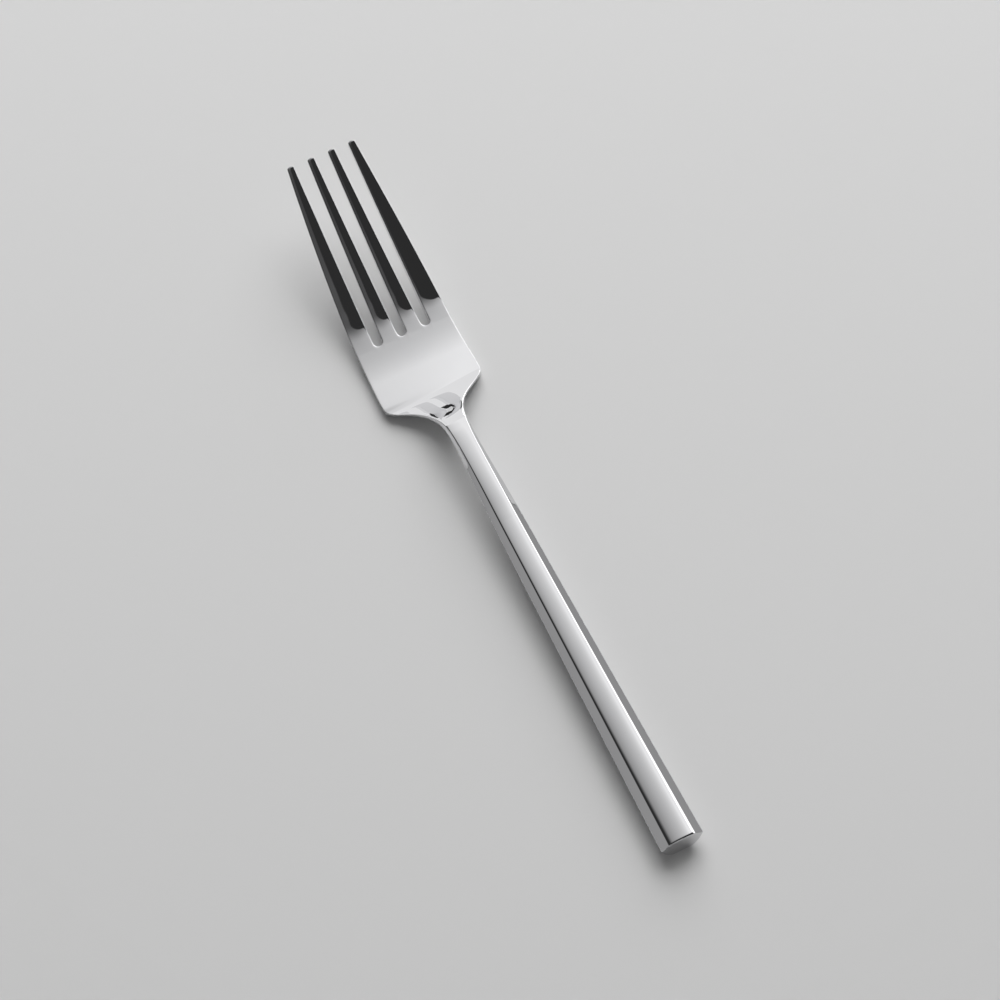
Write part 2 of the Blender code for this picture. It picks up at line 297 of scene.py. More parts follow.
@dataclass(frozen=True)
class HandleShape:
    """Sizes of the bar handle: a crowned top, two sloping side faces and a rounded belly."""

    joint_station: float
    cap_station: float
    butt_width: float = 10.4 * MM
    butt_top_width: float = 6.4 * MM
    butt_height: float = 6.2 * MM
    butt_rake: float = 0.6 * MM
    joint_width: float = 7.2 * MM
    joint_top_width: float = 4.3 * MM
    joint_height: float = 7.8 * MM
    joint_thickness: float = 5.6 * MM
    crown_radius: float = 16.0 * MM
    crown_edge: float = 0.3
    butt_side_drop: float = 1.5 * MM
    joint_side_drop: float = 1.15 * MM
    land_width: float = 2.8 * MM
    land_length: float = 20.0 * MM
    sweep: float = 1.6
    top_taper: float = 1.25

    def along(self, station: float) -> float:
        """Return a station as a share of the way from the butt to the head joint."""
        return station / self.joint_station

    def top(self, station: float) -> float:
        """Return the height of the two top edges."""
        return mix(self.butt_height, self.joint_height, self.along(station) ** self.sweep)

    def bottom(self, station: float) -> float:
        """Return the height of the underside: on the table along the resting land, then rising."""
        rise = (station - self.land_length) / (self.joint_station - self.land_length)
        return (self.joint_height - self.joint_thickness) * max(rise, 0.0)

    def half_width(self, station: float) -> float:
        """Return half the greatest width."""
        return mix(self.butt_width, self.joint_width, self.along(station)) / 2.0

    def half_top(self, station: float) -> float:
        """Return half the width of the top face."""
        share = (1.0 - self.along(station)) ** self.top_taper
        return mix(self.joint_top_width, self.butt_top_width, share) / 2.0

    def side_drop(self, station: float) -> float:
        """Return how far the side faces fall from the top edges to the widest line."""
        return mix(self.butt_side_drop, self.joint_side_drop, self.along(station))

    def parting(self, station: float) -> float:
        """Return the height of the widest line, where the two shells meet."""
        return self.top(station) - self.side_drop(station)

    def rake(self, z: float) -> float:
        """Return how far the leaning end face stands back at a height."""
        return self.butt_rake * z / self.butt_height


@dataclass(frozen=True)
class HeadShape:
    """Sizes of the head: four tines, a flat square-shouldered bowl, a neck and a solid shank."""

    handle: HandleShape
    length: float
    tine_length: float = 43.3 * MM
    bowl_length: float = 15.4 * MM
    flare_length: float = 14.8 * MM
    shoulder_width: float = 25.3 * MM
    bowl_front_width: float = 24.2 * MM
    tip_span: float = 17.5 * MM
    tine_side_curve: float = 1.4
    tines: int = 4
    slot_pitch_root: float = 6.15 * MM
    slot_pitch_tip: float = 5.25 * MM
    slot_width_root: float = 2.2 * MM
    slot_width_tip: float = 3.4 * MM
    neck_top_width: float = 4.2 * MM
    neck_width: float = 5.2 * MM
    bowl_thickness: float = 2.15 * MM
    tip_thickness: float = 1.1 * MM
    neck_thickness: float = 3.7 * MM
    neck_side_drop: float = 1.0 * MM
    slope_angles: tuple[float, ...] = (26.0, 30.0, 34.6, 30.0, 24.0)
    slope_runs: tuple[float, ...] = (2.0 * MM, 3.9 * MM, 2.1 * MM, 2.1 * MM, 1.0 * MM, 2.8 * MM)
    lean_fade: float = 3.0 * MM
    crown_fade: float = 14.0 * MM
    neck_crown: float = 0.6
    neck_lean: float = math.radians(2.0)
    tine_angle: float = math.radians(20.5)
    tine_sweep_radius: float = 363.0 * MM
    bowl_bend_radius: float = 41.0 * MM
    heel_radius: float = 110.0 * MM
    low_point_from_slots: float = 8.2 * MM
    tine_crown: float = 0.12 * MM
    tine_crown_length: float = 8.0 * MM
    edge_draft: float = 0.12 * MM
    flare_corners: tuple[tuple[float, float], ...] = (
        (0.0, -0.64),
        (0.0, -0.32),
        (0.03, 0.18),
        (0.14, 0.41),
        (0.30, 0.62),
        (0.65, 0.79),
        (0.975, 0.938),
        (0.997, 1.06),
        (0.983, 1.333),
    )
    flare_steps: int = 4

    @property
    def slot_station(self) -> float:
        """Station of the closed ends of the slots."""
        return self.length - self.tine_length

    @property
    def shoulder_station(self) -> float:
        """Station of the shoulders."""
        return self.slot_station - self.bowl_length

    @property
    def neck_station(self) -> float:
        """Station where the neck is narrowest."""
        return self.shoulder_station - self.flare_length

    @property
    def low_station(self) -> float:
        """Station of the lowest point of the bowl."""
        return self.slot_station - self.low_point_from_slots

    @property
    def heel_station(self) -> float:
        """Station of the heel of the bowl, where the slope to the neck starts."""
        return self.shoulder_station

    @property
    def crest_station(self) -> float:
        """Station of the head of the slope, on the neck."""
        return self.heel_station - sum(self.slope_runs)

    def past_slots(self, station: float) -> float:
        """Return the share of the way from the slot ends to the tips, held between 0 and 1."""
        return min(max((station - self.slot_station) / self.tine_length, 0.0), 1.0)

    def flare(self, station: float) -> float:
        """Return 0 where the section is a bar and 1 where it is a sheet."""
        return ease((station - self.neck_station) / self.flare_length)

    def shank(self, station: float) -> float:
        """Return the share of the way from the head joint to the neck, held between 0 and 1."""
        joint = self.handle.joint_station
        return min(max((station - joint) / (self.neck_station - joint), 0.0), 1.0)

    def top(self, station: float) -> float:
        """Work out the height of the upper surface: tines, bowl, heel, drop from the neck, shank.

        Args:
            station: Distance along the fork from the butt end.

        Returns:
            The height above the table, before any crown.
        """
        ahead = station - self.low_station
        bend = self.bowl_bend_radius * math.sin(self.tine_angle)
        if ahead >= bend:
            risen = self.bowl_bend_radius * (1.0 - math.cos(self.tine_angle))
            past = ahead - bend
            sweep = past * past / (2.0 * self.tine_sweep_radius)
            return self.bowl_thickness + risen + past * math.tan(self.tine_angle) + sweep
        if ahead >= 0.0:
            radius = self.bowl_bend_radius
            return self.bowl_thickness + radius - math.sqrt(radius * radius - ahead * ahead)
        if station >= self.heel_station:
            return self.bowl_thickness + ahead * ahead / (2.0 * self.heel_radius)
        crest = self.crest_station
        if station >= crest:
            return self.slope_height(station)
        short = (crest - station) / (crest - self.handle.joint_station)
        return mix(self.slope_height(crest), self.handle.joint_height, short * short)

    def slope_height(self, station: float) -> float:
        """Work out the height on the slope that climbs from the heel of the bowl to the neck.

        The slope steepens evenly from each angle to the next and is level at its head.

        Args:
            station: Distance along the fork from the butt end.

        Returns:
            The height above the table.
        """
        start = self.heel_station
        from_low = self.low_station - start
        height = self.bowl_thickness + from_low * from_low / (2.0 * self.heel_radius)
        rise = from_low / self.heel_radius
        rises = [math.tan(math.radians(angle)) for angle in self.slope_angles] + [0.0]
        for length, next_rise in zip(self.slope_runs, rises):
            run = min(max(start - station, 0.0), length)
            height += run * (rise + mix(rise, next_rise, run / length)) / 2.0
            rise = next_rise
            start -= length
        return height

    def lean(self, station: float) -> float:
        """Work out the sideways tilt that the polishing wheel left on the slope of the neck.

        Args:
            station: Distance along the fork from the butt end.

        Returns:
            The rise for each unit to the right.
        """
        foot = self.heel_station - self.slope_runs[0]
        grown = ease((station - self.crest_station) / self.slope_runs[-1])
        gone = ease((station - foot) / self.lean_fade)
        return math.tan(self.neck_lean) * grown * (1.0 - gone)

    def thickness(self, station: float) -> float:
        """Work out the thickness, from the joint through neck and bowl to the tips.

        Args:
            station: Distance along the fork from the butt end.

        Returns:
            The thickness from the upper surface to the underside.
        """
        bar = mix(self.handle.joint_thickness, self.neck_thickness, self.shank(station))
        sheet = mix(self.bowl_thickness, self.tip_thickness, self.past_slots(station))
        return mix(bar, sheet, self.flare(station))

    def tine_half_span(self, station: float) -> float:
        """Return half the width across the outer tines."""
        share = self.past_slots(station) ** self.tine_side_curve
        return mix(self.bowl_front_width, self.tip_span, share) / 2.0

    def flare_outline(self) -> list[tuple[float, float]]:
        """Draw the outline from the neck to the shoulders.

        The outline is a uniform cubic B-spline. It bends round the flare's corners, which are shares
        of the flare's width and length, from the shank to the side of the bowl.

        Returns:
            The points of the outline, each a half width and a station.
        """
        corners = self.flare_corners
        outline = []
        for near in zip(corners, corners[1:], corners[2:], corners[3:]):
            for step in range(self.flare_steps):
                share = step / self.flare_steps
                weights = (
                    (1.0 - share) ** 3 / 6.0,
                    (3.0 * share ** 3 - 6.0 * share ** 2 + 4.0) / 6.0,
                    (-3.0 * share ** 3 + 3.0 * share ** 2 + 3.0 * share + 1.0) / 6.0,
                    share ** 3 / 6.0,
                )
                across = sum(weight * corner[0] for weight, corner in zip(weights, near))
                along = sum(weight * corner[1] for weight, corner in zip(weights, near))
                width = mix(self.neck_top_width, self.shoulder_width, across)
                outline.append((width / 2.0, self.neck_station + self.flare_length * along))
        return outline

    def half_top(self, station: float) -> float:
        """Work out half the width of the upper surface, outside the flare.

        Args:
            station: Distance along the fork from the butt end.

        Returns:
            Half the width.
        """
        if station <= self.neck_station:
            return mix(self.handle.joint_top_width, self.neck_top_width, self.shank(station)) / 2.0
        if station >= self.slot_station:
            return self.tine_half_span(station)
        share = (station - self.shoulder_station) / self.bowl_length
        return mix(self.shoulder_width, self.bowl_front_width, share) / 2.0

    def swell(self, station: float) -> float:
        """Return how far the widest line of the bar stands out past its top edge."""
        joint = self.handle.joint_width - self.handle.joint_top_width
        return mix(joint, self.neck_width - self.neck_top_width, self.shank(station)) / 2.0

    def side_drop(self, station: float) -> float:
        """Return how far the side faces of the shank fall from the top edges."""
        return mix(self.handle.joint_side_drop, self.neck_side_drop, self.shank(station))

    def tine_edges(self, station: float) -> list[float]:
        """Work out where the edges of the tines are.

        Args:
            station: Distance along the fork from the butt end.

        Returns:
            The x of the left and right edges of each tine, from left to right.
        """
        share = self.past_slots(station)
        pitch = mix(self.slot_pitch_root, self.slot_pitch_tip, share)
        half_slot = mix(self.slot_width_root, self.slot_width_tip, share) / 2.0
        outer = self.tine_half_span(station)
        edges = [-outer]
        for slot in range(self.tines - 1):
            middle = pitch * (slot - (self.tines - 2) / 2.0)
            edges += [middle - half_slot, middle + half_slot]
        edges.append(outer)
        return edges


@dataclass
class ForkSkin:
    """The smooth outer skin of the whole fork, made from a slotted sheet that is given thickness."""

    handle: HandleShape
    head: HeadShape
    tine_rim: float = 0.26 * MM
    tine_rim_share: float = 0.12
    edge_rim_most: float = 0.42
    tip_rim: float = 0.08 * MM
    tip_rounding: float = 0.35 * MM
    bar_rim: float = 0.3 * MM
    flare_rim: float = 1.4 * MM
    parting_rim: float = 0.06 * MM
    butt_rim: float = 0.8 * MM
    slot_rounding: float = 1.0 * MM
    slot_corner: float = 0.42 * MM
    slot_corner_rounding: float = 0.25 * MM
    slot_end_length: float = 1.6 * MM
    belly_turns: tuple[float, ...] = (0.0, 0.03, 0.3, 0.65, 1.0)
    belly_undercut: float = math.radians(14.0)
    smoothing: int = 2
    tine_columns: int = 4
    slot_columns: int = 4
    land_rows: int = 3
    handle_rows: int = 7
    shank_rows: int = 4
    bowl_rows: int = 8
    root_rows: int = 5
    root_length: float = 11.0 * MM
    tine_rows: int = 7
    rows: list[tuple[float, float]] = field(init=False)
    cap_row: int = field(init=False)
    joint_row: int = field(init=False)
    slot_row: int = field(init=False)

    def __post_init__(self) -> None:
        """Lay out the rows, from the butt to the tips, as (station, half width of the top)."""
        handle = self.handle
        head = self.head
        stations = [0.0, self.butt_rim, handle.cap_station]
        self.cap_row = len(stations) - 1
        stations += spaced(handle.cap_station, handle.land_length, self.land_rows)
        stations += spaced(handle.land_length, handle.joint_station, self.handle_rows)
        self.joint_row = len(stations) - 1
        self.rows = [(station, handle.half_top(station)) for station in stations]
        outline = head.flare_outline()
        shank = spaced(handle.joint_station, outline[0][1], self.shank_rows)[:-1]
        self.rows += [(station, head.half_top(station)) for station in shank]
        self.rows += [(station, half) for half, station in outline]
        slot = head.slot_station
        tip = head.length
        ahead = spaced(outline[-1][1], slot - self.tine_rim, self.bowl_rows) + [slot]
        self.slot_row = len(self.rows) + len(ahead) - 1
        ahead += [slot + self.slot_end_length]
        ahead += spaced(ahead[-1], slot + self.root_length, self.root_rows)
        ahead += spaced(ahead[-1], tip - self.tip_rim, self.tine_rows) + [tip]
        self.rows += [(station, head.half_top(station)) for station in ahead]

    @property
    def pitch(self) -> int:
        """Number of faces across a tine and the slot to its right."""
        return self.tine_columns + self.slot_columns

    @property
    def columns(self) -> int:
        """Number of faces across the sheet."""
        return self.head.tines * self.pitch - self.slot_columns

    @property
    def parting_level(self) -> int:
        """Level of the widest line, where the shells part, below the two rims and the top edge."""
        return 3

    @property
    def last_level(self) -> int:
        """Level of the underside, counted down the wall from the upper surface."""
        return self.parting_level + len(self.belly_turns) - 1

    def in_slot(self, column: int) -> bool:
        """Return whether a column of faces, counted from the left, lies in a slot."""
        return column % self.pitch >= self.tine_columns

    def across(self, row: int) -> list[float]:
        """Space the columns of the upper surface, from a plain bar to four tines and three slots.

        Args:
            row: Row of the cage, counted from the butt.

        Returns:
            The x of each column line, as a share of the half width.
        """
        station, half = self.rows[row]
        edges = self.head.tine_edges(station)
        sheet = []
        for start in range(0, len(edges), 2):
            left = edges[start]
            right = edges[start + 1]
            rim = min(self.tine_rim, self.tine_rim_share * (right - left))
            sheet += [left, left + rim, (left + right) / 2.0, right - rim, right]
            if start + 2 < len(edges):
                ahead = edges[start + 2]
                sheet += [right + self.slot_corner, (right + ahead) / 2.0, ahead - self.slot_corner]
        inner = half - self.bar_rim
        bar = [-half] + [-inner] + spaced(-inner, inner, self.columns - 2) + [half]
        flare = self.head.flare(station)
        shares = [mix(x_bar / half, x_sheet / edges[-1], flare) for x_bar, x_sheet in zip(bar, sheet)]
        if 0.0 < flare < 1.0:
            shares[-2] = 1.0 - self.edge_rim(station) / half
            shares[1] = -shares[-2]
        return shares

    def edge_rim(self, station: float) -> float:
        """Work out how far the rounding of the outer edge reaches in: furthest half way up the flare.

        Args:
            station: Distance along the fork from the butt end.

        Returns:
            The width of the rounding.
        """
        flare = self.head.flare(station)
        even = mix(self.bar_rim, self.tine_rim, flare)
        return mix(even, self.flare_rim, hump(flare))

    def tine_share(self, row: int, column: int) -> float:
        """Find the place of a column across its tine.

        Args:
            row: Row of the cage, counted from the butt.
            column: Column line of the cage, counted from the left.

        Returns:
            The place, from -1 at the left edge of the tine to 1 at its right edge.
        """
        across = self.across(row)
        first = column - column % self.pitch
        left = across[first]
        right = across[first + self.tine_columns]
        return 2.0 * (across[column] - left) / (right - left) - 1.0

    def rounding(self, row: int, column: int) -> float:
        """Round the tips and the ends of the slots, seen from above.

        Args:
            row: Row of the cage, counted from the butt.
            column: Column line of the cage, counted from the left.

        Returns:
            How far the corner of the cage moves forward.
        """
        place = column % self.pitch
        if row >= len(self.rows) - 2:
            return -self.tip_rounding * self.tine_share(row, column) ** 2
        if row == self.slot_row and 0 < column < self.columns:
            if place in (0, self.tine_columns):
                return self.slot_rounding
            if place in (self.tine_columns + 1, self.pitch - 1):
                return self.slot_corner_rounding
        return 0.0

    def crown(self, row: int, column: int) -> float:
        """Work out the crown of the upper surface, on the bar and on each tine.

        Args:
            row: Row of the cage, counted from the butt.
            column: Column line of the cage, counted from the left.

        Returns:
            How far the surface swells up there.
        """
        station, half = self.rows[row]
        head = self.head
        if row > self.slot_row:
            share = self.tine_share(row, column)
            grown = ease((station - head.slot_station) / head.tine_crown_length)
            return head.tine_crown * grown * max(1.0 - share * share, 0.0)
        bar = half if station < head.neck_station else head.neck_top_width / 2.0
        swell = bar * bar / (2.0 * self.handle.crown_radius)
        kept = mix(head.neck_crown, 1.0, ease((head.neck_station - station) / head.crown_fade))
        across = self.across(row)[column]
        fall = mix(across ** 2, across ** 4, self.handle.crown_edge)
        return swell * (1.0 - fall) * kept * (1.0 - head.flare(station))

    def bar_section(self, station: float, half_top: float) -> list[tuple[float, float]]:
        """Draw the right side of the bar from the top edge down to the land.

        Args:
            station: Distance along the fork from the butt end.
            half_top: Half the width of the upper surface there.

        Returns:
            One point for each level, as x and z.
        """
        if station <= self.handle.joint_station:
            top = self.handle.top(station)
            drop = self.handle.side_drop(station)
            half = self.handle.half_width(station)
            bottom = self.handle.bottom(station)
        else:
            top = self.head.top(station)
            drop = self.head.side_drop(station)
            half = half_top + self.head.swell(station)
            bottom = top - self.head.thickness(station)
        slope = math.hypot(half - half_top, drop)
        section = [(half_top, top)]
        for share in (self.bar_rim / slope, 1.0 - self.parting_rim / slope):
            section.append((mix(half_top, half, share), top - drop * share))
        land = self.handle.land_width / 2.0
        undercut = self.belly_undercut
        for share in self.belly_turns:
            turn = mix(undercut, math.pi / 2.0, share)
            inward = math.cos(turn) / math.cos(undercut)
            downward = (math.sin(turn) - math.sin(undercut)) / (1.0 - math.sin(undercut))
            section.append((mix(land, half, inward), mix(top - drop, bottom, downward)))
        return section

    def sheet_section(self, station: float, half_top: float) -> list[tuple[float, float]]:
        """Draw the right edge of the sheet from the upper surface down.

        Args:
            station: Distance along the fork from the butt end.
            half_top: Half the width of the upper surface there.

        Returns:
            One point for each level, as x and z.
        """
        top = self.head.top(station)
        thickness = self.head.thickness(station)
        rim = min(self.tine_rim / thickness, self.edge_rim_most)
        shares = [0.0, rim] + spaced(rim, 1.0 - rim, self.last_level - 2) + [1.0]
        return [(half_top - self.head.edge_draft * share, top - thickness * share) for share in shares]

    def point(self, row: int, column: int, level: int) -> Vector:
        """Place a corner of the cage.

        Args:
            row: Row of the cage, counted from the butt.
            column: Column line of the cage, counted from the left.
            level: Level of the cage, counted down from the upper surface.

        Returns:
            The place in the frame.
        """
        station, half_top = self.rows[row]
        station += self.rounding(row, column)
        flare = self.head.flare(station)
        bar = self.bar_section(station, half_top)[level]
        sheet = self.sheet_section(station, half_top)[level]
        half = mix(bar[0], sheet[0], flare)
        x = self.across(row)[column] * half
        swell = self.crown(row, column) + x * self.head.lean(station)
        z = mix(bar[1], sheet[1], flare) + swell * (1.0 - level / self.last_level)
        if row < self.cap_row:
            station += self.handle.rake(z)
        return Vector((x, station - self.head.length / 2.0, z))

    def part_of(self, row: float, level: float) -> Part:
        """Find the piece that a face of the cage belongs to.

        Args:
            row: Middle of the face's rows.
            level: Middle of the face's levels.

        Returns:
            The piece.
        """
        if row > self.joint_row:
            return Part.HEAD
        if row < self.cap_row:
            return Part.END_CAP
        return Part.UPPER_SHELL if level < self.parting_level else Part.LOWER_SHELL

    def cage(self) -> bmesh.types.BMesh:
        """Make the coarse cage of the skin: a grid, cut for the slots, thickened and then shaped.

        Returns:
            The cage, with each face marked by its piece.
        """
        bm = bmesh.new()
        row_layer = bm.verts.layers.float.new("row")
        column_layer = bm.verts.layers.float.new("column")
        level_layer = bm.verts.layers.float.new("level")
        last_row = len(self.rows) - 1
        bmesh.ops.create_grid(bm, x_segments=self.columns, y_segments=last_row, size=1.0)
        for vert in bm.verts:
            vert[column_layer] = round((vert.co.x + 1.0) / 2.0 * self.columns)
            vert[row_layer] = round((vert.co.y + 1.0) / 2.0 * last_row)
        slots = []
        for face in bm.faces:
            row = min(vert[row_layer] for vert in face.verts)
            column = min(vert[column_layer] for vert in face.verts)
            if row >= self.slot_row and self.in_slot(int(column)):
                slots.append(face)
        bmesh.ops.delete(bm, geom=slots, context="FACES")
        for item in bmesh.ops.extrude_face_region(bm, geom=bm.faces[:])["geom"]:
            if isinstance(item, bmesh.types.BMVert):
                item[level_layer] = self.last_level
        walls = [edge for edge in bm.edges if edge.verts[0][level_layer] != edge.verts[1][level_layer]]
        bmesh.ops.subdivide_edges(bm, edges=walls, cuts=self.last_level - 1, use_grid_fill=True)
        for face in bm.faces:
            row = sum(vert[row_layer] for vert in face.verts) / len(face.verts)
            level = sum(vert[level_layer] for vert in face.verts) / len(face.verts)
            face.material_index = self.part_of(row, level).value
        for vert in bm.verts:
            row = round(vert[row_layer])
            vert.co = self.point(row, round(vert[column_layer]), round(vert[level_layer]))
        bmesh.ops.recalc_face_normals(bm, faces=bm.faces)
        return bm

    def surface(self) -> bpy.types.Mesh:
        """Smooth the cage into the skin.

        Returns:
            The skin as a fine mesh, with each face marked by its piece.
        """
        coarse = bpy.data.meshes.new("skin_cage")
        bm = self.cage()
        bm.to_mesh(coarse)
        bm.free()
        for part in Part:
            coarse.materials.append(bpy.data.materials.new(part.name.lower()))
        skin = bpy.data.objects.new("skin_cage", coarse)
        bpy.context.scene.collection.objects.link(skin)
        smoothing = skin.modifiers.new("smoothing", "SUBSURF")
        smoothing.levels = self.smoothing
        smoothing.render_levels = self.smoothing
        evaluated = skin.evaluated_get(bpy.context.evaluated_depsgraph_get())
        fine = bpy.data.meshes.new_from_object(evaluated)
        bpy.data.objects.remove(skin, do_unlink=True)
        return fine


@dataclass
class SteelPiece:
    """One steel piece of the fork: its share of the skin, closed and polished."""

    skin: ForkSkin
    surface: bpy.types.Mesh
    steel: PolishedSteel
    name: str
    node: str
    part: Part

    def own_skin(self) -> bmesh.types.BMesh:
        """Cut this piece's share out of the skin.

        Returns:
            The share, open where it meets its neighbours.
        """
        bm = bmesh.new()
        bm.from_mesh(self.surface)
        others = [face for face in bm.faces if face.material_index != self.part.value]
        bmesh.ops.delete(bm, geom=others, context="FACES")
        for face in bm.faces:
            face.material_index = 0
        return bm

    def close(self, bm: bmesh.types.BMesh) -> None:
        """Close the piece where it meets its neighbours. Each kind of piece has its own way."""
        raise NotImplementedError

    def build(self) -> None:
        """Make the piece, dress it in steel and let it stand for its node."""
        bm = self.own_skin()
        self.close(bm)
        bmesh.ops.recalc_face_normals(bm, faces=bm.faces)
        mesh = bpy.data.meshes.new(self.name)
        bm.to_mesh(mesh)
        bm.free()
        mesh.shade_smooth()
        mesh.set_sharp_from_angle(angle=SHARP_ANGLE)
        mesh.materials.append(self.steel.material())
        piece = bpy.data.objects.new(self.name, mesh)
        bpy.context.scene.collection.objects.link(piece)
        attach(piece, BODY)
        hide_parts(self.node)
        LOG.info("%s: %d faces", self.name, len(mesh.polygons))


def grow_inside(
    bm: bmesh.types.BMesh, ring: Sequence[bmesh.types.BMEdge], steps: Sequence[tuple[Vector, Vector]]
) -> None:
    """Close an open ring with a face and grow a stem from it, one step after another.

    Args:
        bm: Mesh with the open ring.
        ring: Edges of the ring.
        steps: For each step, the half size in x and z that the end face gets and the way it moves.
    """
    end = bmesh.ops.contextual_create(bm, geom=list(ring))["faces"]
    for half_size, move in steps:
        grown = bmesh.ops.extrude_face_region(bm, geom=end + end[0].edges[:])["geom"]
        end = [item for item in grown if isinstance(item, bmesh.types.BMFace)]
        verts = end[0].verts[:]
        low = Vector([min(vert.co[axis] for vert in verts) for axis in range(3)])
        high = Vector([max(vert.co[axis] for vert in verts) for axis in range(3)])
        centre = (low + high) / 2.0
        size = high - low
        scale = Vector((2.0 * half_size.x / size.x, 1.0, 2.0 * half_size.z / size.z))
        for vert in verts:
            vert.co = centre + (vert.co - centre) * scale + move


@dataclass
class ForkHead(SteelPiece):
    """Tines, bowl, neck and shank in one, with the tang that the core grips."""

    tang_length: float = 29.0 * MM
    tang_half_width: float = 1.4 * MM
    tang_end_half_width: float = 1.1 * MM
    tang_half_thickness: float = 0.6 * MM

    def close(self, bm: bmesh.types.BMesh) -> None:
        """Close the shank at the joint and draw the tang out of it.

        Args:
            bm: The piece's share of the skin, which is changed.
        """
        ring = [edge for edge in bm.edges if edge.is_boundary]
        root = Vector((self.tang_half_width, 0.0, self.tang_half_thickness))
        end = Vector((self.tang_end_half_width, 0.0, self.tang_half_thickness))
        still = Vector((0.0, 0.0, 0.0))
        grow_inside(bm, ring, [(root, still), (end, Vector((0.0, -self.tang_length, 0.0)))])


@dataclass
class EndCap(SteelPiece):
    """The plate that closes the butt, with the spigot that both shells sit on."""

    spigot_length: float = 2.8 * MM
    spigot_inset: float = 1.1 * MM

    def close(self, bm: bmesh.types.BMesh) -> None:
        """Close the plate and draw the spigot out of it.

        Args:
            bm: The piece's share of the skin, which is changed.
        """
        ring = [edge for edge in bm.edges if edge.is_boundary]
        handle = self.skin.handle
        half_width = handle.half_width(handle.cap_station) - self.spigot_inset
        half_height = handle.top(handle.cap_station) / 2.0 - self.spigot_inset
        size = Vector((half_width, 0.0, half_height))
        still = Vector((0.0, 0.0, 0.0))
        grow_inside(bm, ring, [(size, still), (size, Vector((0.0, self.spigot_length, 0.0)))])


@dataclass
class HandleShell(SteelPiece):
    """One drawn half shell of the handle."""

    wall: float = 0.75 * MM

    def close(self, bm: bmesh.types.BMesh) -> None:
        """Give the shell its wall, drawn in from the skin towards the widest line.

        Args:
            bm: The piece's share of the skin, which is changed.
        """
        handle = self.skin.handle
        half_length = self.skin.head.length / 2.0
        for item in bmesh.ops.extrude_face_region(bm, geom=bm.faces[:])["geom"]:
            if not isinstance(item, bmesh.types.BMVert):
                continue
            station = item.co.y + half_length
            parting = handle.parting(station)
            if self.part is Part.UPPER_SHELL:
                depth = handle.side_drop(station)
            else:
                depth = parting - handle.bottom(station)
            item.co.x *= 1.0 - self.wall / handle.half_width(station)
            item.co.z = parting + (item.co.z - parting) * (1.0 - self.wall / depth)


@dataclass
class HandleCore:
    """The cast core inside the handle, which keeps its own shape and gets its finish here."""

    cement: CastCement
    node: str = "handle_filler"

    def dress(self) -> None:
        """Put the cement on the core."""
        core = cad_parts[self.node]
        core.data.materials.clear()
        core.data.materials.append(self.cement.material())
        LOG.info("%s: dressed", self.node)


@dataclass(frozen=True)
class PanelFade:
    """How a panel's light grows along one axis: by e for each growth length, held at most."""

    axis: str
    full_at: float
    growth: float
    most: float
    dark_edge: float
    bright_edge: float


